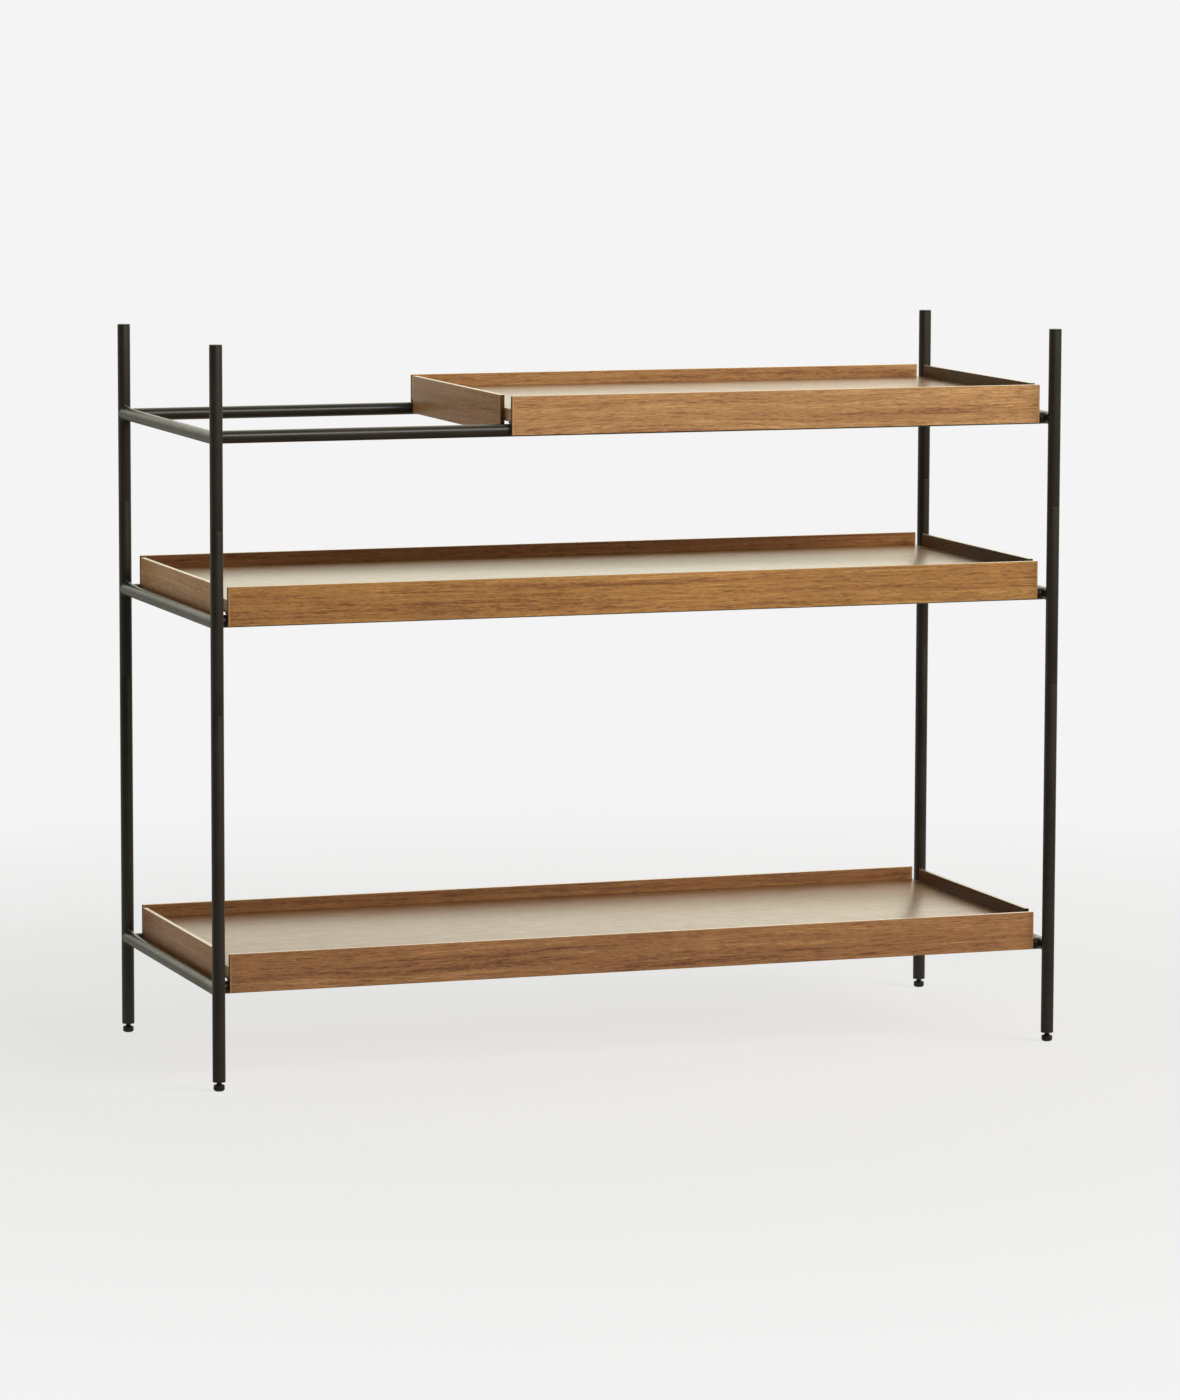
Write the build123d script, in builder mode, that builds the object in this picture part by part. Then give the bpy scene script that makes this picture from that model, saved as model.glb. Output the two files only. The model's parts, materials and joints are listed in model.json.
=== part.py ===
from build123d import *
import os

# Low open tray shelf: a round-tube frame with three rail rings and three lipped trays.
# X runs along the length, Y towards the rear, Z up.  The origin is on the floor,
# in the middle of the four feet.  All sizes are in millimetres.

# ---------------------------------------------------------------- driving dimensions
total_h = 810.0              # floor to the top of the post caps
foot_h = 10.0                # floor to the lower end of the post tubes
post_x = 488.0               # post axis from the middle, along the length
post_y = 192.0               # post axis from the middle, front to rear
post_r = 7.1                 # post tube, outside radius
cross_r = 7.05               # cross rail tube, outside radius
long_r = 7.0                 # long rail tube, outside radius
tube_wall = 1.5              # wall of every tube
seam_low = 410.0             # seam between the lower and the middle post sections
seam_high = 610.0            # seam between the middle and the upper post sections
seam_chamfer = 0.4           # broken edge on both sides of a seam
cap_t = 1.8                  # thickness of a post cap's head
level_z = {"bottom": 110.0, "middle": 510.0, "top": 709.0}   # rail axes above the floor
rail_y = 171.5               # long rail axis from the middle: set in from the posts

stud_len = 60.0              # joining stud, half in each section
stud_fit = 0.05              # radial gap of studs, plugs and inserts in the tube bore
cap_plug_len = 12.0
insert_len = 22.0            # threaded insert in the lower end of each post
thread_r = 3.0               # M6 levelling foot
thread_gap = 0.06
stem_top = 35.0
pad_r = 6.2                  # foot pad
pad_h = 7.4
pad_seat_z = 3.0             # bottom of the pad's socket
pad_edge = 2.8               # rounding of the pad's lower edge

wall_t = 5.2                 # veneered tray walls
wall_up = 38.0               # tray wall top above the rail axis
wall_down = 4.8              # tray wall bottom below the rail axis
floor_t = 14.1               # tray floor panel
floor_up = 9.6               # underside of the floor panel above the rail axis
tray_side_x = 478.5          # outer face of an end wall, on the full-length trays
tray_wall_y = 184.4          # outer face of the front and rear walls
end_wall_y = 158.7           # half length of an end wall: it stops short of the long rails
short_tray_left = -156.6     # outer face of the short tray's left end wall
edge_r = 0.7                 # eased edges of the tray panels
glide_r = 5.0                # glide pads under the tray floor, one above each rail end
glide_gap = 0.3              # running gap over the rail
glide_in = 5.6               # glide pad centre in from the end of the floor panel

os.makedirs("parts", exist_ok=True)

corners = {
    "front_left": (-post_x, -post_y),
    "front_right": (post_x, -post_y),
    "rear_left": (-post_x, post_y),
    "rear_right": (post_x, post_y),
}
post_bore = post_r - tube_wall

# ---------------------------------------------------------------- posts
# Each post is three lengths of tube that stack end to end.
sections = {
    "lower": (foot_h, seam_low),
    "middle": (seam_low, seam_high),
    "upper": (seam_high, total_h - cap_t),
}
for section, (z_low, z_high) in sections.items():
    for corner, (x, y) in corners.items():
        with BuildPart() as post:
            with BuildSketch(Plane(origin=(x, y, z_low), z_dir=(0, 0, 1))):
                Circle(post_r)
                Circle(post_bore, mode=Mode.SUBTRACT)
            extrude(amount=z_high - z_low)
            outer_edges = post.edges().filter_by(GeomType.CIRCLE).filter_by(
                lambda e: abs(e.radius - post_r) < 1e-3
            )
            chamfer(outer_edges, length=seam_chamfer)
        post.part.label = f"{section}_post_{corner}"
        export_step(post.part, f"parts/{section}_post_{corner}.step")

# Joining studs sit inside the tubes across each seam.
for name, seam in (("lower_joining_studs", seam_low), ("upper_joining_studs", seam_high)):
    with BuildPart() as studs:
        with BuildSketch(Plane.XY.offset(seam - stud_len / 2)):
            with Locations(*corners.values()):
                Circle(post_bore - stud_fit)
        extrude(amount=stud_len)
        chamfer(studs.edges().filter_by(GeomType.CIRCLE), length=0.8)
    studs.part.label = name
    export_step(studs.part, f"parts/{name}.step")

# Caps close the upper ends: a flat head on a plug.
with BuildPart() as caps:
    with BuildSketch(Plane.XY.offset(total_h - cap_t)):
        with Locations(*corners.values()):
            Circle(post_r)
    extrude(amount=cap_t)
    with BuildSketch(Plane.XY.offset(total_h - cap_t - cap_plug_len)):
        with Locations(*corners.values()):
            Circle(post_bore - stud_fit)
    extrude(amount=cap_plug_len)
    chamfer(caps.edges().filter_by(GeomType.CIRCLE).group_by(Axis.Z)[-1], length=0.7)
caps.part.label = "post_top_caps"
export_step(caps.part, "parts/post_top_caps.step")

# Threaded inserts in the lower ends take the levelling feet.
with BuildPart() as inserts:
    with BuildSketch(Plane.XY.offset(foot_h)):
        with Locations(*corners.values()):
            Circle(post_bore - stud_fit)
            Circle(thread_r + thread_gap, mode=Mode.SUBTRACT)
    extrude(amount=insert_len)
inserts.part.label = "foot_thread_inserts"
export_step(inserts.part, "parts/foot_thread_inserts.step")

# ---------------------------------------------------------------- rail rings
for level, z in level_z.items():
    # Cross rails run from post to post and are coped round them.
    for side, x in (("left", -post_x), ("right", post_x)):
        with BuildPart() as cross_rail:
            with BuildSketch(Plane(origin=(x, -post_y, z), x_dir=(1, 0, 0), z_dir=(0, 1, 0))):
                Circle(cross_r)
                Circle(cross_r - tube_wall, mode=Mode.SUBTRACT)
            extrude(amount=2 * post_y)
            with BuildSketch(Plane.XY.offset(z - 20)):
                with Locations((x, -post_y), (x, post_y)):
                    Circle(post_r)
            extrude(amount=40, mode=Mode.SUBTRACT)
        cross_rail.part.label = f"{level}_{side}_cross_rail"
        export_step(cross_rail.part, f"parts/{level}_{side}_cross_rail.step")
    # Long rails run from cross rail to cross rail, set in from the posts.
    for side, y in (("front", -rail_y), ("rear", rail_y)):
        with BuildPart() as long_rail:
            with BuildSketch(Plane(origin=(-post_x, y, z), x_dir=(0, 1, 0), z_dir=(1, 0, 0))):
                Circle(long_r)
                Circle(long_r - tube_wall, mode=Mode.SUBTRACT)
            extrude(amount=2 * post_x)
            with BuildSketch(Plane(origin=(0, y - 20, z), x_dir=(1, 0, 0), z_dir=(0, 1, 0))):
                with Locations((-post_x, 0), (post_x, 0)):
                    Circle(cross_r)
            extrude(amount=40, mode=Mode.SUBTRACT)
        long_rail.part.label = f"{level}_{side}_rail"
        export_step(long_rail.part, f"parts/{level}_{side}_rail.step")

# ---------------------------------------------------------------- levelling feet
for corner, (x, y) in corners.items():
    with BuildPart() as foot_stem:
        with BuildSketch(Plane(origin=(x, y, pad_seat_z + 0.1), z_dir=(0, 0, 1))):
            Circle(thread_r)
        extrude(amount=stem_top - pad_seat_z - 0.1)
        chamfer(foot_stem.edges().filter_by(GeomType.CIRCLE).group_by(Axis.Z)[-1], length=0.6)
    foot_stem.part.label = f"{corner}_foot_stem"
    export_step(foot_stem.part, f"parts/{corner}_foot_stem.step")

    with BuildPart() as foot_pad:
        with BuildSketch(Plane(origin=(x, y, 0), z_dir=(0, 0, 1))):
            Circle(pad_r)
        extrude(amount=pad_h)
        with BuildSketch(Plane(origin=(x, y, pad_seat_z), z_dir=(0, 0, 1))):
            Circle(thread_r + thread_gap)
        extrude(amount=pad_h, mode=Mode.SUBTRACT)
        rim = foot_pad.edges().filter_by(GeomType.CIRCLE).filter_by(
            lambda e: abs(e.radius - pad_r) < 1e-3
        )
        fillet(rim.group_by(Axis.Z)[0], radius=pad_edge)
        fillet(rim.group_by(Axis.Z)[-1], radius=0.8)
    foot_pad.part.label = f"{corner}_foot_pad"
    export_step(foot_pad.part, f"parts/{corner}_foot_pad.step")

# ---------------------------------------------------------------- trays
# The floor panel lies over the long rails on four glide pads.  The front and rear walls
# hang outside the long rails, and the end walls hang between them.
wall_h = wall_up + wall_down
for level, z in level_z.items():
    x_left = short_tray_left if level == "top" else -tray_side_x
    x_right = tray_side_x
    x_mid = (x_left + x_right) / 2
    inner_x = x_right - x_left - 2 * wall_t
    inner_y = 2 * (tray_wall_y - wall_t)

    with BuildPart() as tray_floor:
        with BuildSketch(Plane(origin=(x_mid, 0, z + floor_up), z_dir=(0, 0, 1))):
            Rectangle(inner_x, inner_y)
        extrude(amount=floor_t)
    tray_floor.part.label = f"{level}_tray_floor"
    export_step(tray_floor.part, f"parts/{level}_tray_floor.step")

    for side, y in (
        ("front", -tray_wall_y + wall_t / 2),
        ("rear", tray_wall_y - wall_t / 2),
    ):
        with BuildPart() as long_wall:
            with BuildSketch(Plane(origin=(x_mid, y, z - wall_down), z_dir=(0, 0, 1))):
                Rectangle(inner_x, wall_t)
            extrude(amount=wall_h)
            fillet(long_wall.edges(), radius=edge_r)
        long_wall.part.label = f"{level}_tray_{side}_wall"
        export_step(long_wall.part, f"parts/{level}_tray_{side}_wall.step")

    for side, x in (("left", x_left + wall_t / 2), ("right", x_right - wall_t / 2)):
        with BuildPart() as end_wall:
            with BuildSketch(Plane(origin=(x, 0, z - wall_down), z_dir=(0, 0, 1))):
                Rectangle(wall_t, 2 * end_wall_y)
            extrude(amount=wall_h)
            fillet(end_wall.edges(), radius=edge_r)
        end_wall.part.label = f"{level}_tray_{side}_wall"
        export_step(end_wall.part, f"parts/{level}_tray_{side}_wall.step")

    pad_low = z + long_r + glide_gap
    pad_x = inner_x / 2 - glide_in
    with BuildPart() as glide_pads:
        with BuildSketch(Plane(origin=(x_mid, 0, pad_low), z_dir=(0, 0, 1))):
            with Locations((-pad_x, -rail_y), (pad_x, -rail_y), (-pad_x, rail_y), (pad_x, rail_y)):
                Circle(glide_r)
        extrude(amount=z + floor_up - pad_low)
        fillet(
            glide_pads.edges().filter_by(GeomType.CIRCLE).group_by(Axis.Z)[0], radius=0.5
        )
    glide_pads.part.label = f"{level}_tray_glide_pads"
    export_step(glide_pads.part, f"parts/{level}_tray_glide_pads.step")
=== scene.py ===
import json
import math
import random

import bpy
from mathutils import Matrix, Vector

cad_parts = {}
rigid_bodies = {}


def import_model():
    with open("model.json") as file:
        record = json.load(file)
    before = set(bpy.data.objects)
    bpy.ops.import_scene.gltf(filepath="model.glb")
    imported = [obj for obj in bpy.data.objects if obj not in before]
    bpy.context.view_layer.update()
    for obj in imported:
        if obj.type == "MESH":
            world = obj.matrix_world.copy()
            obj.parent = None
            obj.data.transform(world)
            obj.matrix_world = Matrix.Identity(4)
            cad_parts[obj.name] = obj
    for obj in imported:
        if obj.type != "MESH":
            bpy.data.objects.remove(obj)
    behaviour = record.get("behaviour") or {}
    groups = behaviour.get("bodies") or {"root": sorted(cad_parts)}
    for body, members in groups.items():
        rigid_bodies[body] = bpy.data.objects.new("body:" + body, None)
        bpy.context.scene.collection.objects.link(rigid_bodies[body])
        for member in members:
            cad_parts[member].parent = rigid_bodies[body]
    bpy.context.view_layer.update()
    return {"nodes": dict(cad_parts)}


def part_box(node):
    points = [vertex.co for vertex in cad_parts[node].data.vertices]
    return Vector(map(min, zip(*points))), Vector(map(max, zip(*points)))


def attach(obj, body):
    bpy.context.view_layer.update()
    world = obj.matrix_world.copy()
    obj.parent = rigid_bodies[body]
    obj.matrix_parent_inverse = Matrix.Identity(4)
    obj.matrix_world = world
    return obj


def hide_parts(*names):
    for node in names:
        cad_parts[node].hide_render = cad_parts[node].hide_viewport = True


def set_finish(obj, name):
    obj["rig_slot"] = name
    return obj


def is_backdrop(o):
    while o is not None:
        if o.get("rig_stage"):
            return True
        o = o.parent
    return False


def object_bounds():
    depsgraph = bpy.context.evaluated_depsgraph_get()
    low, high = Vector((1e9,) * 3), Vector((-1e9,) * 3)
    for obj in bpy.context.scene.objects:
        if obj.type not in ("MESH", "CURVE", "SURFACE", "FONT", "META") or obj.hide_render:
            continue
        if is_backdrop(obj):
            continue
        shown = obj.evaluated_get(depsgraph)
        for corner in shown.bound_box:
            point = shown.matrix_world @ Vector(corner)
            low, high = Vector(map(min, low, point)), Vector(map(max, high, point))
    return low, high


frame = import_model()
random.seed(7)

MM = 0.001
LEVELS = ("bottom", "middle", "top")
CORNERS = ("front_left", "front_right", "rear_left", "rear_right")


# ------------------------------------------------------------------ node helpers
class Tree:
    """A short way to write a node graph."""

    def __init__(self, name):
        self.mat = bpy.data.materials.new(name)
        self.mat.use_nodes = True
        self.nt = self.mat.node_tree
        self.nt.nodes.clear()
        self.out = self.nt.nodes.new("ShaderNodeOutputMaterial")
        self.bsdf = self.nt.nodes.new("ShaderNodeBsdfPrincipled")
        self.nt.links.new(self.bsdf.outputs[0], self.out.inputs[0])

    def node(self, kind, **props):
        n = self.nt.nodes.new(kind)
        for k, v in props.items():
            setattr(n, k, v)
        return n

    def link(self, a, b):
        self.nt.links.new(a, b)

    def put(self, socket, value):
        if isinstance(value, bpy.types.NodeSocket):
            self.link(value, socket)
        else:
            socket.default_value = value

    def math(self, op, a, b=None, c=None, clamp=False):
        n = self.node("ShaderNodeMath", operation=op, use_clamp=clamp)
        self.put(n.inputs[0], a)
        if b is not None:
            self.put(n.inputs[1], b)
        if c is not None:
            self.put(n.inputs[2], c)
        return n.outputs[0]

    def vmath(self, op, a, b=None):
        n = self.node("ShaderNodeVectorMath", operation=op)
        self.put(n.inputs[0], a)
        if b is not None:
            self.put(n.inputs[1], b)
        return n.outputs[0]

    def noise(self, vec, scale=1.0, detail=2.0, rough=0.5, dist=0.0):
        n = self.node("ShaderNodeTexNoise", noise_dimensions="3D")
        self.link(vec, n.inputs["Vector"])
        n.inputs["Scale"].default_value = scale
        n.inputs["Detail"].default_value = detail
        n.inputs["Roughness"].default_value = rough
        n.inputs["Distortion"].default_value = dist
        return n.outputs[0]

    def ramp(self, fac, stops, interp="LINEAR"):
        n = self.node("ShaderNodeValToRGB")
        n.color_ramp.interpolation = interp
        els = n.color_ramp.elements
        while len(els) < len(stops):
            els.new(0.5)
        for e, (p, c) in zip(els, stops):
            e.position = p
            e.color = (c, c, c, 1) if isinstance(c, (int, float)) else (*c, 1)
        self.link(fac, n.inputs[0])
        return n.outputs[0]

    def mix(self, fac, a, b, blend="MIX"):
        n = self.node("ShaderNodeMix", data_type="RGBA", blend_type=blend)
        self.put(n.inputs[0], fac)
        self.put(n.inputs[6], a if isinstance(a, bpy.types.NodeSocket) else (*a, 1))
        self.put(n.inputs[7], b if isinstance(b, bpy.types.NodeSocket) else (*b, 1))
        return n.outputs[2]

    def maprange(self, v, a, b, c, d):
        n = self.node("ShaderNodeMapRange")
        self.put(n.inputs[0], v)
        for i, x in enumerate((a, b, c, d)):
            n.inputs[i + 1].default_value = x
        return n.outputs[0]

    def bump(self, height, distance, strength=1.0, normal=None):
        n = self.node("ShaderNodeBump")
        n.inputs["Strength"].default_value = strength
        n.inputs["Distance"].default_value = distance
        self.link(height, n.inputs["Height"])
        if normal is not None:
            self.link(normal, n.inputs["Normal"])
        return n.outputs[0]

    def coords(self):
        return self.node("ShaderNodeTexCoord").outputs["Object"]


# ------------------------------------------------------------------ materials
def shade(c, k):
    return tuple(v * k for v in c)


def walnut(name, along, light, mid, dark, seed, figure=1.0, streak=1.0, rough=0.36, spec=0.45, coat=0.0, ends=None, top=None):
    """Straight-grained walnut veneer under satin lacquer. along is the axis that the grain follows."""
    t = Tree(name)
    sep = t.node("ShaderNodeSeparateXYZ")
    t.link(t.coords(), sep.inputs[0])
    x, y, z = sep.outputs
    a, b, c = {"X": (x, z, y), "Y": (y, z, x), "XF": (x, y, z), "Z": (z, x, y)}[along]
    comb = t.node("ShaderNodeCombineXYZ")
    t.link(a, comb.inputs[0])
    t.link(b, comb.inputs[1])
    t.link(c, comb.inputs[2])
    p = t.vmath("ADD", comb.outputs[0], (seed * 1.37, seed * 0.61, seed * 0.83))

    # slow waves and small wriggles of the grain
    wave = t.noise(t.vmath("MULTIPLY", p, (2.1, 9.0, 9.0)), 1.0, 1.0, 0.45)
    wriggle = t.noise(t.vmath("MULTIPLY", p, (17.0, 60.0, 60.0)), 1.0, 1.0, 0.5)
    shift = t.math(
        "ADD",
        t.math("MULTIPLY", t.math("SUBTRACT", wave, 0.5), 0.026 * figure),
        t.math("MULTIPLY", t.math("SUBTRACT", wriggle, 0.5), 0.0026 * figure),
    )
    push = t.node("ShaderNodeCombineXYZ")
    t.link(shift, push.inputs[1])
    t.link(shift, push.inputs[2])
    q = t.vmath("ADD", p, push.outputs[0])

    bands = t.noise(t.vmath("MULTIPLY", q, (0.9, 85.0, 85.0)), 1.0, 2.0, 0.55)
    growth = t.noise(t.vmath("MULTIPLY", q, (5.5, 260.0, 260.0)), 1.0, 3.0, 0.6)
    streaks = t.noise(t.vmath("MULTIPLY", q, (34.0, 520.0, 520.0)), 1.0, 2.0, 0.55)
    mottles = t.noise(t.vmath("MULTIPLY", q, (150.0, 620.0, 620.0)), 1.0, 1.0, 0.5)
    fibre = t.noise(t.vmath("MULTIPLY", q, (13.0, 1300.0, 1300.0)), 1.0, 2.0, 0.5)
    fleck = t.noise(t.vmath("MULTIPLY", q, (62.0, 640.0, 640.0)), 1.0, 1.0, 0.5)
    pore = t.noise(t.vmath("MULTIPLY", q, (95.0, 2600.0, 2600.0)), 1.0, 1.0, 0.5)
    rings = t.noise(t.vmath("MULTIPLY", q, (2.4, 170.0, 170.0)), 1.0, 2.0, 0.5)
    tone = t.noise(t.vmath("MULTIPLY", p, (3.2, 7.0, 7.0)), 1.0, 2.0, 0.5)
    flame = t.noise(t.vmath("MULTIPLY", p, (30.0, 9.0, 9.0)), 1.0, 1.0, 0.5)

    grain = t.math(
        "ADD",
        t.math("ADD", t.math("MULTIPLY", bands, 0.27), t.math("MULTIPLY", growth, 0.26)),
        t.math("ADD", t.math("MULTIPLY", streaks, 0.20), t.math("ADD", t.math("MULTIPLY", fibre, 0.10), t.math("MULTIPLY", mottles, 0.17))),
    )
    spread = 0.090 / streak
    colour = t.ramp(
        t.maprange(grain, 0.5 - spread, 0.5 + spread, 0.0, 1.0),
        [(0.0, dark), (0.38, mid), (0.62, mid), (1.0, light)],
    )
    lines = t.maprange(t.math("ABSOLUTE", t.math("SUBTRACT", rings, 0.5)), 0.004, 0.030, 1.0, 0.0)
    lines = t.math("MULTIPLY", lines, t.maprange(streaks, 0.38, 0.60, 0.15, 1.0))
    colour = t.mix(t.math("MULTIPLY", lines, 0.58 * streak, clamp=True), colour, (dark[0] * 0.92, dark[1] * 0.74, dark[2] * 0.80))
    growth_dark = t.maprange(growth, 0.35, 0.62, 1.0, 0.35)
    flecks = t.math("MULTIPLY", t.ramp(fleck, [(0.53, 0.0), (0.66, 1.0)]), growth_dark, clamp=True)
    pores = t.ramp(pore, [(0.58, 0.0), (0.70, 1.0)])
    colour = t.mix(t.math("MULTIPLY", flecks, 0.55 * streak, clamp=True), colour, (dark[0] * 0.50, dark[1] * 0.38, dark[2] * 0.42))
    colour = t.mix(t.math("MULTIPLY", pores, 0.42, clamp=True), colour, [v * 0.40 for v in dark])
    level = t.math(
        "ADD",
        t.maprange(tone, 0.3, 0.7, 0.90, 1.10),
        t.maprange(flame, 0.3, 0.7, -0.045, 0.045),
    )
    grey = t.node("ShaderNodeCombineColor")
    for i in range(3):
        t.link(level, grey.inputs[i])
    colour = t.mix(1.0, colour, grey.outputs[0], "MULTIPLY")
    t.link(colour, t.bsdf.inputs["Base Color"])

    if ends:
        # solid lippings on the two ends and the top edge, each with a fine glue line; the lippings are coloured
        # lighter, partly for their wood and partly as a painted highlight along the rounded edges
        near = t.math("MINIMUM", t.math("SUBTRACT", a, ends[0]), t.math("SUBTRACT", ends[1], a))
        near = t.math("MINIMUM", near, t.math("MULTIPLY", t.math("SUBTRACT", top, z), 2.0))
        lipping_and_highlight = t.maprange(near, 2.1 * MM, 2.3 * MM, 1.0, 0.0)
        glue = t.math("SUBTRACT", 1.0, t.maprange(t.math("ABSOLUTE", t.math("SUBTRACT", near, 2.25 * MM)), 0.05 * MM, 0.22 * MM, 0.0, 1.0))
        # lighter lipping colour: partly the solid wood, partly a painted highlight on the rounded edges
        lipping_highlight_colour = t.ramp(t.noise(t.vmath("MULTIPLY", p, (900.0, 240.0, 240.0)), 1.0, 2.0, 0.5), [(0.3, shade(mid, 1.02)), (0.7, shade(light, 1.04))])
        colour = t.mix(t.math("MULTIPLY", lipping_and_highlight, 0.85), colour, lipping_highlight_colour)
        colour = t.mix(t.math("MULTIPLY", glue, 0.45), colour, [v * 0.5 for v in dark])
        # darker end grain on the two small end faces
        facing = t.node("ShaderNodeSeparateXYZ")
        t.link(t.node("ShaderNodeTexCoord").outputs["Normal"], facing.inputs[0])
        end_on = t.math("ABSOLUTE", facing.outputs["X" if along == "X" else "Y"])
        end_on = t.maprange(end_on, 0.55, 0.85, 0.0, 1.0)
        speckle = t.noise(t.vmath("MULTIPLY", p, (700.0, 900.0, 900.0)), 1.0, 2.0, 0.5)
        grain_end = t.mix(t.maprange(speckle, 0.35, 0.65, 0.0, 1.0), [v * 0.24 for v in dark], [v * 0.50 for v in dark])
        colour = t.mix(end_on, colour, grain_end)
        t.link(colour, t.bsdf.inputs["Base Color"])

    mottle = t.noise(t.vmath("MULTIPLY", p, (40.0, 60.0, 60.0)), 1.0, 2.0, 0.5)
    r = t.math(
        "ADD",
        t.maprange(mottle, 0.3, 0.7, rough - 0.025, rough + 0.025),
        t.math("MULTIPLY", pores, 0.14),
    )
    t.link(r, t.bsdf.inputs["Roughness"])
    t.bsdf.inputs["IOR"].default_value = 1.5
    t.bsdf.inputs["Specular IOR Level"].default_value = spec
    t.bsdf.inputs["Coat Weight"].default_value = coat
    if ends:
        # the narrow upper edge keeps a full gloss, as it takes the most lacquer
        t.link(t.maprange(facing.outputs["Z"], 0.55, 0.95, coat, 1.0), t.bsdf.inputs["Coat Weight"])
    t.bsdf.inputs["Coat Roughness"].default_value = 0.24
    height = t.math(
        "SUBTRACT",
        t.math("MULTIPLY", fibre, 0.25),
        t.math("ADD", t.math("MULTIPLY", pores, 0.8), t.math("MULTIPLY", flecks, 0.35)),
    )
    t.link(t.bump(height, 0.00005, 0.6), t.bsdf.inputs["Normal"])
    return t.mat


def powder_coat(name, seed=0.0, rough=0.34, base=(0.0150, 0.0120, 0.0085)):
    """Black powder coat: a fine orange peel, faint mottling of colour and gloss."""
    t = Tree(name)
    p = t.vmath("ADD", t.coords(), (seed, seed * 0.7, seed * 1.3))
    peel = t.noise(p, 900.0, 2.0, 0.5)
    grit = t.noise(p, 4200.0, 1.0, 0.5)
    cloud = t.noise(p, 22.0, 2.0, 0.5)
    colour = t.mix(t.maprange(cloud, 0.3, 0.7, 0.0, 1.0), base, [v * 1.35 for v in base])
    speck = t.ramp(grit, [(0.66, 0.0), (0.74, 1.0)])
    colour = t.mix(t.math("MULTIPLY", speck, 0.35), colour, [v * 2.6 for v in base])
    t.link(colour, t.bsdf.inputs["Base Color"])
    r = t.math(
        "ADD",
        t.maprange(cloud, 0.3, 0.7, rough - 0.03, rough + 0.03),
        t.math("MULTIPLY", speck, 0.1),
    )
    t.link(r, t.bsdf.inputs["Roughness"])
    t.bsdf.inputs["IOR"].default_value = 1.5
    h = t.math("ADD", peel, t.math("MULTIPLY", grit, 0.3))
    t.link(t.bump(h, 0.00003, 0.55), t.bsdf.inputs["Normal"])
    return t.mat


def dark_steel(name, seed=0.0):
    """Blackened steel with fine turning marks and a little wear on the crests."""
    t = Tree(name)
    p = t.vmath("ADD", t.coords(), (seed, seed, seed))
    turn = t.noise(t.vmath("MULTIPLY", p, (300.0, 300.0, 5200.0)), 1.0, 2.0, 0.5)
    blotch = t.noise(p, 260.0, 3.0, 0.6)
    colour = t.mix(t.maprange(blotch, 0.35, 0.65, 0.0, 1.0), (0.05, 0.047, 0.043), (0.13, 0.125, 0.118))
    colour = t.mix(t.ramp(turn, [(0.58, 0.0), (0.72, 0.5)]), colour, (0.24, 0.235, 0.225))
    t.link(colour, t.bsdf.inputs["Base Color"])
    t.bsdf.inputs["Metallic"].default_value = 0.85
    t.link(t.maprange(blotch, 0.3, 0.7, 0.30, 0.46), t.bsdf.inputs["Roughness"])
    t.link(t.bump(turn, 0.00002, 0.5), t.bsdf.inputs["Normal"])
    return t.mat


def moulded(name, base, rough, grain, seed=0.0):
    """Moulded nylon or rubber with a fine eroded texture."""
    t = Tree(name)
    p = t.vmath("ADD", t.coords(), (seed, seed, seed))
    fine = t.noise(p, grain, 3.0, 0.6)
    wide = t.noise(p, 90.0, 2.0, 0.5)
    colour = t.mix(t.maprange(wide, 0.3, 0.7, 0.0, 1.0), base, [v * 1.5 for v in base])
    colour = t.mix(t.ramp(fine, [(0.60, 0.0), (0.72, 0.45)]), colour, [v * 2.4 for v in base])
    t.link(colour, t.bsdf.inputs["Base Color"])
    t.link(t.maprange(fine, 0.3, 0.7, rough - 0.05, rough + 0.07), t.bsdf.inputs["Roughness"])
    t.link(t.bump(fine, 0.00004, 0.5), t.bsdf.inputs["Normal"])
    return t.mat


# ------------------------------------------------------------------ mesh helpers
def build(name, verts, faces, body, mat, slot, replaces=(), angle=35.0):
    mesh = bpy.data.meshes.new(name)
    mesh.from_pydata([tuple(v) for v in verts], [], faces)
    mesh.validate()
    mesh.materials.append(mat)
    mesh.shade_smooth()
    mesh.set_sharp_from_angle(angle=math.radians(angle))
    obj = bpy.data.objects.new(name, mesh)
    bpy.context.scene.collection.objects.link(obj)
    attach(obj, body)
    if replaces:
        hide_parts(*replaces)
    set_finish(obj, slot)
    return obj


def centre(node):
    low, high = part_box(node)
    return (low + high) / 2


def arc(cx, cz, r, a0, a1, n):
    """Points on an arc in a profile plane, angles in degrees."""
    return [
        (cx + r * math.cos(math.radians(a0 + (a1 - a0) * i / n)),
         cz + r * math.sin(math.radians(a0 + (a1 - a0) * i / n)))
        for i in range(n + 1)
    ]


def lathe(profiles, cx, cy, seg=72):
    """Turned solids about a vertical axis. A profile is a closed loop of (radius, z), anticlockwise in the
    (radius, z) plane; points with no radius become poles."""
    verts, faces = [], []
    for profile in profiles:
        rings = []
        for r, z in profile:
            if r < 1e-7:
                rings.append([len(verts)])
                verts.append((cx, cy, z))
            else:
                rings.append(list(range(len(verts), len(verts) + seg)))
                for k in range(seg):
                    a = 2 * math.pi * k / seg
                    verts.append((cx + r * math.cos(a), cy + r * math.sin(a), z))
        n = len(rings)
        for i in range(n):
            p, q = rings[i], rings[(i + 1) % n]
            if len(p) == 1 and len(q) == 1:
                continue
            for k in range(seg):
                k2 = (k + 1) % seg
                if len(p) == 1:
                    faces.append((p[0], q[k2], q[k]))
                elif len(q) == 1:
                    faces.append((p[k], p[k2], q[0]))
                else:
                    faces.append((p[k], p[k2], q[k2], q[k]))
    return verts, faces


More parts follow.
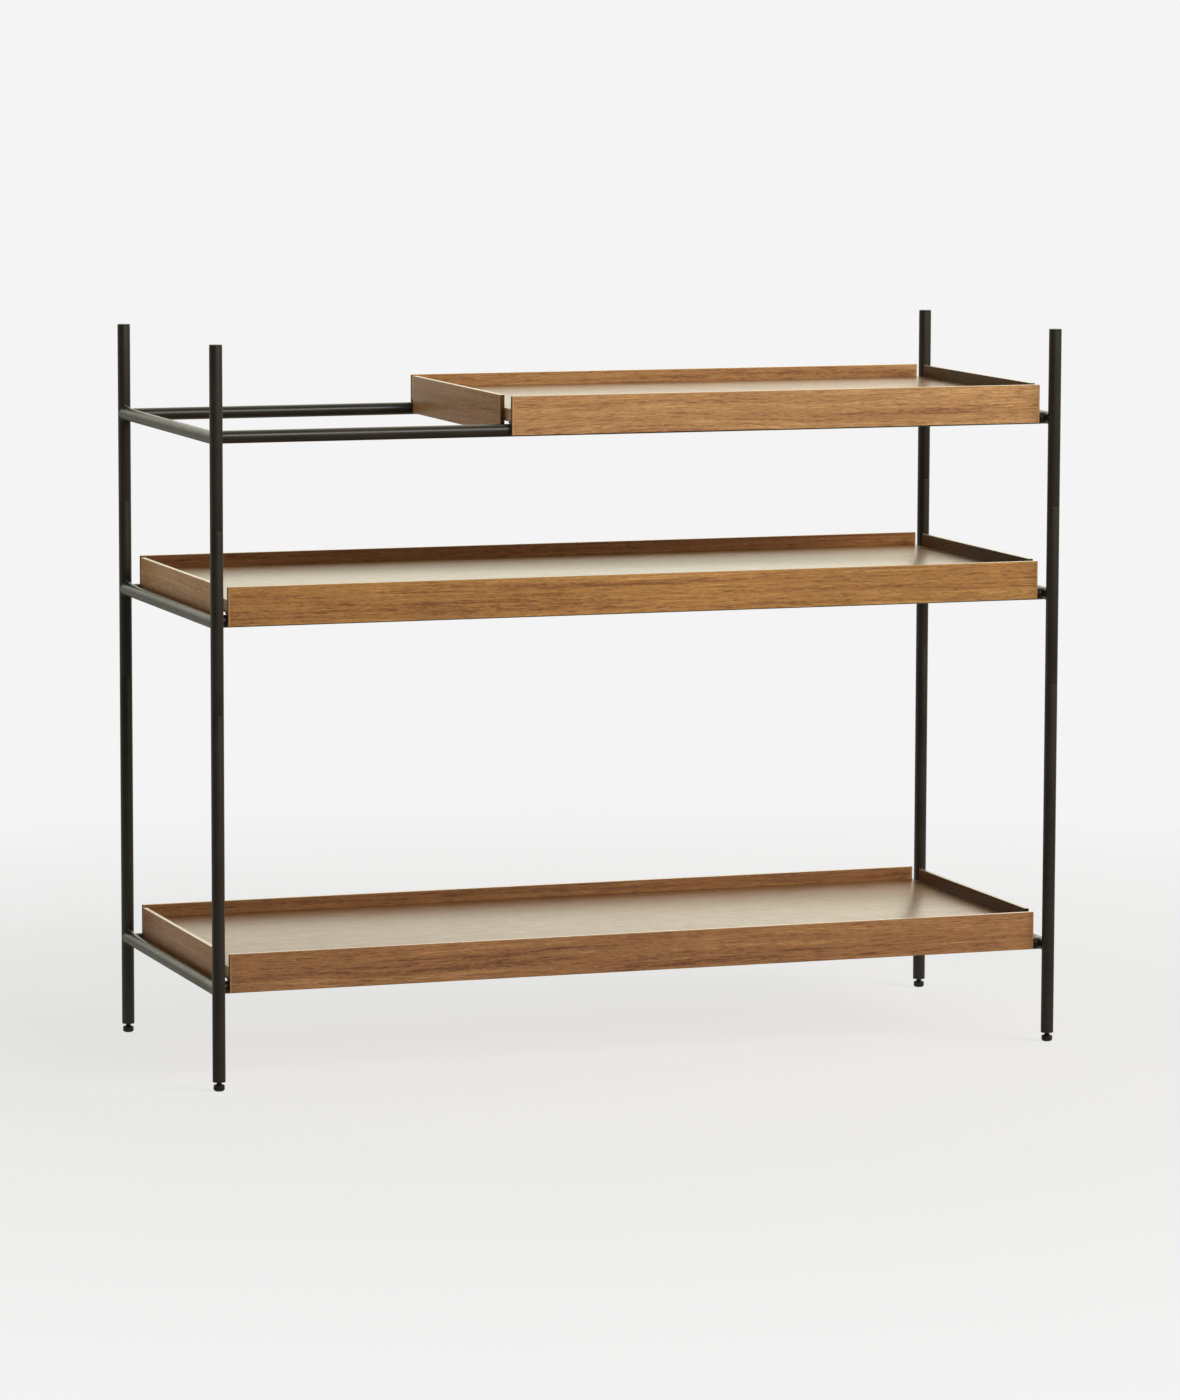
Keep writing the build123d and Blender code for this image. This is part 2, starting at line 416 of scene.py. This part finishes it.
def tube_profile(z0, z1, r, ri, edge):
    """Section of a tube's wall with its outer edges rounded over."""
    low = arc(r - edge, z0 + edge, edge, -90, 0, 4)
    high = arc(r - edge, z1 - edge, edge, 0, 90, 4)
    return [(ri, z0)] + low + high + [(ri, z1)]


def sweep_tube(stations, seg=56):
    """A tube lofted through stations. Each station is a function of the angle giving (outer point, inner point)."""
    verts, faces = [], []
    outer, inner = [], []
    for st in stations:
        o, i = [], []
        for k in range(seg):
            po, pi = st(2 * math.pi * k / seg)
            o.append(len(verts))
            verts.append(po)
            i.append(len(verts))
            verts.append(pi)
        outer.append(o)
        inner.append(i)
    for s in range(len(stations) - 1):
        for k in range(seg):
            k2 = (k + 1) % seg
            faces.append((outer[s][k], outer[s][k2], outer[s + 1][k2], outer[s + 1][k]))
            faces.append((inner[s][k2], inner[s][k], inner[s + 1][k], inner[s + 1][k2]))
    for k in range(seg):
        k2 = (k + 1) % seg
        faces.append((outer[0][k2], outer[0][k], inner[0][k], inner[0][k2]))
        faces.append((outer[-1][k], outer[-1][k2], inner[-1][k2], inner[-1][k]))
    return verts, faces


def rounded_slab(low, high, r, n=3):
    """A closed panel whose twelve edges and eight corners are all rounded to radius r."""
    lo, hi = Vector(low), Vector(high)
    verts, faces = [], []
    # latitude rings of a sphere, pulled apart into a box
    m = n
    lats = [-90 + 90 * i / m for i in range(m + 1)] + [90 * i / m for i in range(m + 1)]
    rings = []
    for j, lat in enumerate(lats):
        top = j > m
        cz = hi.z - r if top else lo.z + r
        z = cz + r * math.sin(math.radians(lat))
        rr = r * math.cos(math.radians(lat))
        ring = []
        for quarter, (sx, sy) in enumerate(((1, 1), (-1, 1), (-1, -1), (1, -1))):
            cx = hi.x - r if sx > 0 else lo.x + r
            cy = hi.y - r if sy > 0 else lo.y + r
            for i in range(n + 1):
                a = math.radians(90 * quarter + 90 * i / n)
                ring.append(len(verts))
                verts.append((cx + rr * math.cos(a), cy + rr * math.sin(a), z))
        rings.append(ring)
    count = len(rings[0])
    for j in range(len(rings) - 1):
        for k in range(count):
            k2 = (k + 1) % count
            faces.append((rings[j][k], rings[j][k2], rings[j + 1][k2], rings[j + 1][k]))
    faces.append(tuple(reversed(rings[0])))
    faces.append(tuple(rings[-1]))
    return weld_points(verts, faces)


def weld_points(verts, faces, tol=1e-7):
    """Joins points that lie on each other, and drops faces that collapse."""
    seen, remap, out = {}, [], []
    for v in verts:
        key = tuple(round(c / tol) for c in v)
        if key not in seen:
            seen[key] = len(out)
            out.append(v)
        remap.append(seen[key])
    kept = []
    for f in faces:
        g = []
        for i in f:
            j = remap[i]
            if not g or g[-1] != j:
                g.append(j)
        if len(g) > 1 and g[0] == g[-1]:
            g.pop()
        if len(g) > 2:
            kept.append(tuple(g))
    return out, kept


def join(parts):
    verts, faces = [], []
    for v, f in parts:
        base = len(verts)
        verts += list(v)
        faces += [tuple(i + base for i in g) for g in f]
    return verts, faces


# ------------------------------------------------------------------ the materials used
coat_post = powder_coat("black_powder_coat_posts", 0.31)
coat_rail = powder_coat("black_powder_coat_rails", 1.73)
steel = dark_steel("blackened_steel", 0.4)
nylon = moulded("black_nylon", (0.010, 0.0095, 0.0085), 0.42, 2600.0, 0.2)
rubber = moulded("dark_rubber", (0.020, 0.019, 0.018), 0.62, 1800.0, 0.9)

TRAY_TONE_AND_SHADE = {
    # light, mid, dark of the veneer on each tray; the lower trays are darker partly for their own veneer and partly as
    # painted shade for the light falling off downwards
    "top": ((0.60, 0.342, 0.145), (0.455, 0.238, 0.094), (0.290, 0.130, 0.054)),
    "middle": ((0.56, 0.300, 0.098), (0.412, 0.200, 0.060), (0.242, 0.098, 0.031)),
    "bottom": ((0.47, 0.240, 0.094), (0.345, 0.162, 0.062), (0.198, 0.078, 0.032)),
}


wood = {}
WALL_DEPTH_AND_SHADE = {  # how dark each wall is against its tray's front: veneer tone, with painted shade darkening the inner right end walls
    "bottom": {"front": 0.98, "rear": 0.94, "left": 1.06, "right": 0.55},
    "middle": {"front": 1.02, "rear": 0.62, "left": 1.22, "right": 0.42},
    "top": {"front": 1.03, "rear": 1.14, "left": 0.92, "right": 0.34},
}
CAST = {("middle", "rear"): (1.03, 0.93, 1.10), ("bottom", "left"): (1.05, 0.97, 0.82), ("top", "left"): (1.06, 0.99, 0.86), ("middle", "left"): (1.03, 0.99, 0.95)}
FLOOR = {"bottom": (0.80, 0.20), "middle": (0.78, 0.52), "top": (0.86, 0.34)}  # depth of colour, lacquer
LOOK = {"bottom": (1.1, 1.0), "middle": (0.35, 1.0), "top": (1.2, 1.05)}  # waviness, contrast
for n, lev in enumerate(LEVELS):
    li, mi, da = TRAY_TONE_AND_SHADE[lev]
    for k, side in enumerate(("front", "rear", "left", "right")):
        lo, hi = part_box(f"{lev}_tray_{side}_wall")
        i = 0 if side in ("front", "rear") else 1
        # d scales the wall's veneer tones; on the right end walls it darkens them as painted shade
        d = WALL_DEPTH_AND_SHADE[lev][side]
        cast = CAST.get((lev, side), (1.0, 1.0, 1.0))
        wl, wm, wd = ([v * c * d for v, c in zip(tone, cast)] for tone in (li, mi, da))
        wood[lev, side] = walnut(
            f"walnut_{lev}_{side}", "XY"[i], wl, wm, wd, 3.1 + n * 5.7 + k * 1.9,
            rough=0.46 if side == "right" else 0.36, spec=0.22 if side == "right" or (lev, side) == ("middle", "rear") else 0.45,
            figure=LOOK[lev][0] if side == "front" else 0.5, streak=LOOK[lev][1] * (1.0 if i == 0 else 0.85),
            ends=(lo[i], hi[i]), top=hi.z,
        )
    d, lacquer = FLOOR[lev]
    wood[lev, "floor"] = walnut(
        f"walnut_{lev}_floor", "XF", shade(li, d), shade(mi, d), shade(da, d), 12.9 + n * 2.7,
        figure=0.8, streak=0.75, rough=0.30, coat=lacquer,
    )

# ------------------------------------------------------------------ posts
SECTIONS = ("lower", "middle", "upper")
post_r = (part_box("lower_post_front_left")[1].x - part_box("lower_post_front_left")[0].x) / 2
tube_wall = 1.5 * MM
post_axis = {c: centre(f"lower_post_{c}") for c in CORNERS}
for sec in SECTIONS:
    for c in CORNERS:
        node = f"{sec}_post_{c}"
        low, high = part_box(node)
        ax = post_axis[c]
        v, f = lathe([tube_profile(low.z, high.z, post_r, post_r - tube_wall, 0.45 * MM)], ax.x, ax.y, 72)
        build(f"{node}_tube", v, f, "frame", coat_post, "black_powder_coat", [node], 40)

# caps: a softly domed head on a ribbed plug
cap_low, cap_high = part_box("post_top_caps")
cap_t = 1.8 * MM
parts = []
for c in CORNERS:
    ax = post_axis[c]
    zt = cap_high.z
    zb = zt - cap_t
    plug = post_r - tube_wall - 0.05 * MM
    prof = [(0.0, zb - 10 * MM), (plug - 0.6 * MM, cap_low.z), (plug, cap_low.z + 0.6 * MM)]
    prof = [(0.0, cap_low.z)] + prof[1:]
    for i in range(3):
        zr = cap_low.z + (2.2 + 2.6 * i) * MM
        prof += [(plug, zr), (plug - 0.35 * MM, zr + 0.4 * MM), (plug - 0.35 * MM, zr + 1.2 * MM), (plug, zr + 1.6 * MM)]
    prof += [(plug, zb), (post_r - 0.25 * MM, zb), (post_r, zb + 0.25 * MM)]
    prof += arc(post_r - 0.7 * MM, zt - 0.75 * MM, 0.7 * MM, 0, 82, 5)
    prof += [(post_r * 0.55, zt - 0.015 * MM), (0.0, zt)]
    parts.append(lathe([prof], ax.x, ax.y, 72))
v, f = join(parts)
build("post_top_cap_set", v, f, "frame", coat_post, "black_powder_coat", ["post_top_caps"], 40)

# ------------------------------------------------------------------ rails, coped to what they meet
post_y = abs(post_axis["front_left"].y)
post_x = abs(post_axis["front_left"].x)
cross_r = (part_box("top_left_cross_rail")[1].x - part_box("top_left_cross_rail")[0].x) / 2
long_r = (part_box("top_front_rail")[1].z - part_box("top_front_rail")[0].z) / 2
rail_y = abs(centre("top_front_rail").y)


def cross_station(x, z, side, back):
    """Ring on a cross rail: side is -1 at the front, 1 at the rear; back is how far in from the cope, None at the cope."""

    def at(a):
        def point(r):
            dx, dz = r * math.cos(a), r * math.sin(a)
            reach = math.sqrt(max(post_r ** 2 - dx ** 2, 0.0)) if back is None else post_r + back
            return (x + dx, side * (post_y - reach), z + dz)

        return point(cross_r), point(cross_r - tube_wall)

    return at


def long_station(y, z, side, back):
    def at(a):
        def point(r):
            dy, dz = -r * math.cos(a), r * math.sin(a)
            reach = math.sqrt(max(cross_r ** 2 - dz ** 2, 0.0)) if back is None else cross_r + back
            return (side * (post_x - reach), y + dy, z + dz)

        return point(long_r), point(long_r - tube_wall)

    return at


def flip(vf):
    return vf[0], [tuple(reversed(g)) for g in vf[1]]


BACKS = (None, 1.5 * MM, 12 * MM, 60 * MM)
for lev in LEVELS:
    z = centre(f"{lev}_front_rail").z
    for side in ("left", "right"):
        node = f"{lev}_{side}_cross_rail"
        x = centre(node).x
        st = [cross_station(x, z, -1, b) for b in BACKS] + [cross_station(x, z, 1, b) for b in reversed(BACKS)]
        v, f = flip(sweep_tube(st))
        build(f"{node}_tube", v, f, "frame", coat_rail, "black_powder_coat", [node], 40)
    for side, y in (("front", -rail_y), ("rear", rail_y)):
        node = f"{lev}_{side}_rail"
        st = [long_station(y, z, -1, b) for b in BACKS] + [long_station(y, z, 1, b) for b in reversed(BACKS)]
        v, f = flip(sweep_tube(st))
        build(f"{node}_tube", v, f, "frame", coat_rail, "black_powder_coat", [node], 40)


# ------------------------------------------------------------------ weld fillets at every joint of the rings
def weld_ring(origin, out, across, up, r1, r2, size, phase, seg=64, steps=6):
    """Concave fillet where a tube of radius r1, leaving origin along out, meets a tube of radius r2 whose axis is up."""
    verts, faces = [], []
    ring_len = steps + 2
    for k in range(seg):
        a = 2 * math.pi * k / seg
        ripple = 1 + 0.05 * math.sin(9 * a + phase) + 0.03 * math.sin(17 * a + 2.1 * phase)
        f = max(size * abs(math.sin(a)) ** 0.8 * ripple, 0.10 * MM)
        sect = [(f * (1 - math.sin(b)), f * (1 - math.cos(b))) for b in [math.pi / 2 * i / steps for i in range(steps + 1)]]
        sect.append((-0.35 * MM, -0.35 * MM))
        for dr, ds in sect:
            v = (r1 + dr) * math.cos(a)
            w = (r1 + dr) * math.sin(a)
            v = max(-r2, min(r2, v)) if dr >= 0 else v
            u = math.sqrt(max(r2 ** 2 - v ** 2, 0.0)) + ds
            verts.append(tuple(origin + out * u + across * v + up * w))
    for k in range(seg):
        k2 = (k + 1) % seg
        for i in range(ring_len):
            i2 = (i + 1) % ring_len
            faces.append((k * ring_len + i, k2 * ring_len + i, k2 * ring_len + i2, k * ring_len + i2))
    return verts, faces


X, Y, Z = Vector((1, 0, 0)), Vector((0, 1, 0)), Vector((0, 0, 1))
for lev in LEVELS:
    z = centre(f"{lev}_front_rail").z
    parts = []
    n = 0
    for sx in (-1, 1):
        for sy in (-1, 1):
            # cross rail into the post
            parts.append(weld_ring(Vector((sx * post_x, sy * post_y, z)), Y * -sy, X * sy, Z, cross_r, post_r, 2.9 * MM, n * 1.7))
            # long rail into the cross rail: the cross rail's axis is Y
            parts.append(weld_ring(Vector((sx * post_x, sy * rail_y, z)), X * -sx, Z * sx, Y, long_r, cross_r, 2.4 * MM, n * 2.3 + 1))
            n += 1
    v, f = join(parts)
    build(f"{lev}_ring_welds", v, f, "frame", coat_rail, "black_powder_coat", (), 50)

# ------------------------------------------------------------------ levelling feet
thread_major = 3.0 * MM
PITCH = 1.0 * MM


def thread(cx, cy, z0, z1, major, minor, seg=40, per_pitch=8, lead_in=0.6 * MM):
    """A closed threaded rod: one right-handed helix whose crest fades at both ends."""
    n = max(4, int(round((z1 - z0) / (PITCH / per_pitch))))
    verts, faces = [], []
    for j in range(n + 1):
        z = z0 + (z1 - z0) * j / n
        fade = min(1.0, (z - z0) / (1.2 * MM), (z1 - z) / (1.0 * MM))
        tip = major - max(0.0, lead_in - (z1 - z))
        for k in range(seg):
            a = 2 * math.pi * k / seg
            ph = (z / PITCH - a / (2 * math.pi)) % 1.0
            tri = 1 - abs(2 * ph - 1)
            tri = min(1.0, max(0.0, (tri - 0.12) / 0.72))
            r = minor + (major - minor) * tri * max(fade, 0.0)
            r = min(r, tip)
            verts.append((cx + r * math.cos(a), cy + r * math.sin(a), z))
    for j in range(n):
        for k in range(seg):
            k2 = (k + 1) % seg
            faces.append((j * seg + k, j * seg + k2, (j + 1) * seg + k2, (j + 1) * seg + k))
    verts.append((cx, cy, z0))
    verts.append((cx, cy, z1))
    b, t = len(verts) - 2, len(verts) - 1
    for k in range(seg):
        k2 = (k + 1) % seg
        faces.append((b, k2, k))
        faces.append((t, n * seg + k, n * seg + k2))
    return verts, faces


for c in CORNERS:
    node = f"{c}_foot_stem"
    low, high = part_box(node)
    ax = post_axis[c]
    v, f = thread(ax.x, ax.y, low.z, high.z, thread_major, 2.42 * MM)
    build(f"{c}_foot_threaded_stem", v, f, f"{c}_foot", steel, "steel_hardware", [node], 60)

    node = f"{c}_foot_pad"
    low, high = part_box(node)
    r = (high.x - low.x) / 2
    h = high.z
    socket_r, socket_z = 3.06 * MM, 3.0 * MM
    # dished underside, domed flank, a fine parting line and a raised collar round the stem
    prof = [(0.0, 0.25 * MM), (2.6 * MM, 0.12 * MM), (3.1 * MM, 0.0)]
    prof += arc(r - 2.9 * MM, 2.9 * MM, 2.9 * MM, -88, -4, 10)
    prof += [(r - 0.01 * MM, 3.0 * MM), (r - 0.10 * MM, 3.75 * MM), (r - 0.28 * MM, 3.85 * MM), (r - 0.28 * MM, 4.05 * MM), (r - 0.06 * MM, 4.15 * MM)]
    prof += [(r, 4.5 * MM), (r - 0.02 * MM, h - 1.6 * MM)]
    prof += arc(r - 1.1 * MM, h - 1.6 * MM, 1.05 * MM, 4, 86, 6)
    prof += [(4.3 * MM, h - 0.42 * MM), (4.1 * MM, h - 0.1 * MM), (3.95 * MM, h), (socket_r + 0.12 * MM, h), (socket_r, h - 0.15 * MM), (socket_r, socket_z), (0.0, socket_z)]
    v, f = lathe([prof], ax.x, ax.y, 72)
    build(f"{c}_foot_glide", v, f, f"{c}_foot_base", nylon, "foot_plastic", [node], 38)

# ------------------------------------------------------------------ trays
for lev in LEVELS:
    body = f"{lev}_tray"
    for side in ("front", "rear", "left", "right"):
        node = f"{lev}_tray_{side}_wall"
        low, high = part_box(node)
        v, f = rounded_slab(low, high, 0.7 * MM, 4)
        build(f"{node}_panel", v, f, body, wood[lev, side], "walnut_wall", [node], 50)
    node = f"{lev}_tray_floor"
    low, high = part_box(node)
    v, f = rounded_slab(low, high, 0.35 * MM, 3)
    build(f"{node}_panel", v, f, body, wood[lev, "floor"], "walnut_floor", [node], 50)

# ------------------------------------------------------------------ carried-over parts
for name, obj in frame["nodes"].items():
    if obj.hide_render:
        continue
    m = rubber if "glide" in name else steel
    obj.data.materials.clear()
    obj.data.materials.append(m)
    obj.data.shade_smooth()
    obj.data.set_sharp_from_angle(angle=math.radians(35))

# ------------------------------------------------------------------ floor, light and camera
BACK = 0.905
SHADOW = 0.20


def studio_floor():
    verts, faces = [], []
    radii = [0.0, 0.6, 1.2, 2.0, 3.0, 4.5, 7.0, 12.0, 30.0, 90.0, 400.0]
    seg = 96
    verts.append((0, 0, 0))
    for r in radii[1:]:
        for k in range(seg):
            a = 2 * math.pi * k / seg
            verts.append((r * math.cos(a), r * math.sin(a), 0.0))
    for k in range(seg):
        faces.append((0, 1 + k, 1 + (k + 1) % seg))
    for i in range(len(radii) - 2):
        for k in range(seg):
            k2 = (k + 1) % seg
            p, q = 1 + i * seg, 1 + (i + 1) * seg
            faces.append((p + k, q + k, q + k2, p + k2))
    mesh = bpy.data.meshes.new("studio_floor")
    mesh.from_pydata(verts, [], faces)
    obj = bpy.data.objects.new("studio_floor", mesh)
    bpy.context.scene.collection.objects.link(obj)
    obj.location.z = -0.0004
    obj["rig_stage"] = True
    t = Tree("pale_floor")
    t.bsdf.inputs["Roughness"].default_value = 0.95
    t.bsdf.inputs["Specular IOR Level"].default_value = 0.0
    t.bsdf.inputs["Base Color"].default_value = (0.90, 0.90, 0.90, 1)
    glow = t.node("ShaderNodeEmission")
    glow.inputs[0].default_value = (BACK, BACK, BACK, 1)
    dist = t.node("ShaderNodeVectorMath", operation="LENGTH")
    t.link(t.coords(), dist.inputs[0])
    far = t.maprange(dist.outputs["Value"], 0.75, 1.9, 1.0 - SHADOW, 1.0)
    seen = t.node("ShaderNodeMixShader")
    t.link(far, seen.inputs[0])
    t.link(t.bsdf.outputs[0], seen.inputs[1])
    t.link(glow.outputs[0], seen.inputs[2])
    # what the object itself gets from the floor: a broad bounce, and a dimmer one in its gloss
    sep = t.node("ShaderNodeSeparateXYZ")
    t.link(t.coords(), sep.inputs[0])
    bounce = t.node("ShaderNodeEmission")
    bounce.inputs[0].default_value = (0.72, 0.695, 0.64, 1)
    gloss = t.node("ShaderNodeEmission")
    back = t.maprange(sep.outputs[1], -0.5, 0.4, 0.0, 1.0)
    t.link(t.mix(back, (0.12, 0.115, 0.10), (0.50, 0.48, 0.41)), gloss.inputs[0])
    ray = t.node("ShaderNodeLightPath")
    other = t.node("ShaderNodeMixShader")
    t.link(ray.outputs["Is Glossy Ray"], other.inputs[0])
    t.link(bounce.outputs[0], other.inputs[1])
    t.link(gloss.outputs[0], other.inputs[2])
    mixer = t.node("ShaderNodeMixShader")
    t.link(ray.outputs["Is Camera Ray"], mixer.inputs[0])
    t.link(other.outputs[0], mixer.inputs[1])
    t.link(seen.outputs[0], mixer.inputs[2])
    t.link(mixer.outputs[0], t.out.inputs[0])
    t.mat.cycles.emission_sampling = "NONE"
    mesh.materials.append(t.mat)
    return obj


studio_floor()

world = bpy.data.worlds.new("studio")
bpy.context.scene.world = world
world.use_nodes = True
nt = world.node_tree
nt.nodes.clear()
out = nt.nodes.new("ShaderNodeOutputWorld")
plain = nt.nodes.new("ShaderNodeBackground")
plain.inputs[0].default_value = (BACK, BACK, BACK, 1)
room = nt.nodes.new("ShaderNodeBackground")
tc = nt.nodes.new("ShaderNodeTexCoord")
sepw = nt.nodes.new("ShaderNodeSeparateXYZ")
nt.links.new(tc.outputs["Generated"], sepw.inputs[0])


def world_range(socket, a, b, c, d):
    n = nt.nodes.new("ShaderNodeMapRange")
    nt.links.new(sepw.outputs[socket], n.inputs[0])
    for i, v in enumerate((a, b, c, d)):
        n.inputs[i + 1].default_value = v
    return n.outputs[0]


# the studio: bright behind the object and higher up, dim in front and to the left
depth = world_range("Y", -0.20, 0.80, 0.09, 1.0)
aside = world_range("X", -0.60, -0.05, 0.40, 1.0)
rise = world_range("Z", 0.0, 0.35, 0.85, 2.25)
level = depth
across = world_range("X", 0.24, 0.40, 0.84, 1.14)
for factor in (aside, rise, across):
    prod = nt.nodes.new("ShaderNodeMath")
    prod.operation = "MULTIPLY"
    nt.links.new(level, prod.inputs[0])
    nt.links.new(factor, prod.inputs[1])
    level = prod.outputs[0]
# a soft patch at the front right, which the posts show as a stripe
patch = nt.nodes.new("ShaderNodeVectorMath")
patch.operation = "DOT_PRODUCT"
patch.inputs[1].default_value = (0.66, -0.74, 0.12)
nt.links.new(tc.outputs["Generated"], patch.inputs[0])
spot = nt.nodes.new("ShaderNodeMapRange")
spot.interpolation_type = "SMOOTHSTEP"
nt.links.new(patch.outputs["Value"], spot.inputs[0])
for i, v in enumerate((0.86, 0.97, 0.0, 0.75)):
    spot.inputs[i + 1].default_value = v
plus = nt.nodes.new("ShaderNodeMath")
plus.operation = "ADD"
nt.links.new(level, plus.inputs[0])
nt.links.new(spot.outputs[0], plus.inputs[1])
nt.links.new(plus.outputs[0], room.inputs[1])
room.inputs[0].default_value = (0.965, 0.955, 0.785, 1)
path = nt.nodes.new("ShaderNodeLightPath")
fill = nt.nodes.new("ShaderNodeBackground")
fill.inputs[0].default_value = (0.24, 0.235, 0.22, 1)
mixf = nt.nodes.new("ShaderNodeMixShader")
nt.links.new(path.outputs["Is Glossy Ray"], mixf.inputs[0])
nt.links.new(fill.outputs[0], mixf.inputs[1])
nt.links.new(room.outputs[0], mixf.inputs[2])
mixw = nt.nodes.new("ShaderNodeMixShader")
nt.links.new(path.outputs["Is Camera Ray"], mixw.inputs[0])
nt.links.new(mixf.outputs[0], mixw.inputs[1])
nt.links.new(plain.outputs[0], mixw.inputs[2])
world.cycles.sampling_method = "NONE"
nt.links.new(mixw.outputs[0], out.inputs[0])


def softbox(name, at, look, sx, sy, power, colour=(1, 1, 1)):
    data = bpy.data.lights.new(name, "AREA")
    data.shape = "RECTANGLE"
    data.size, data.size_y = sx, sy
    data.energy = power
    data.color = colour
    obj = bpy.data.objects.new(name, data)
    bpy.context.scene.collection.objects.link(obj)
    obj.location = at
    obj.rotation_mode = "QUATERNION"
    obj.rotation_quaternion = (Vector(look) - Vector(at)).to_track_quat("-Z", "Y")
    return obj


key = softbox("key_softbox", (4.0, -4.4, 3.2), (0.0, 0.0, 0.42), 4.2, 3.4, 330.0, (1.0, 0.975, 0.93))
key.visible_glossy = False
strip = softbox("strip_softbox", (0.45, -3.45, 2.74), (-0.3, -0.17, 0.7), 2.6, 1.0, 78.0, (1.0, 0.98, 0.94))
metal = bpy.data.collections.new("metal_pieces")
for obj in list(bpy.context.scene.objects):
    if obj.type == "MESH" and obj.get("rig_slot") == "black_powder_coat":
        metal.objects.link(obj)
strip.light_linking.receiver_collection = metal

cam_data = bpy.data.cameras.new("camera")
cam = bpy.data.objects.new("camera", cam_data)
bpy.context.scene.collection.objects.link(cam)
bpy.context.scene.camera = cam
cam_data.sensor_width = 36.0
cam_data.lens = 6027.882 * 36.0 / 1400.0
cam_data.clip_start = 0.05
cam_data.clip_end = 1000.0
yaw, pitch, roll = math.radians(19.183), math.radians(6.994), math.radians(0.16)
fwd = Vector((math.sin(yaw) * math.cos(pitch), math.cos(yaw) * math.cos(pitch), -math.sin(pitch)))
right = Vector((math.cos(yaw), -math.sin(yaw), 0.0))
up = right.cross(fwd)
r2 = right * math.cos(roll) + up * math.sin(roll)
u2 = -right * math.sin(roll) + up * math.cos(roll)
cam.matrix_world = Matrix.Translation((-2.224782, -6.404768, 1.218346)) @ Matrix(
    ((r2.x, u2.x, -fwd.x, 0), (r2.y, u2.y, -fwd.y, 0), (r2.z, u2.z, -fwd.z, 0), (0, 0, 0, 1))
)

scene = bpy.context.scene
scene.view_settings.view_transform = "Standard"
scene.view_settings.look = "None"
scene.view_settings.exposure = 0.0
scene.view_settings.gamma = 1.0

low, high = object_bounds()
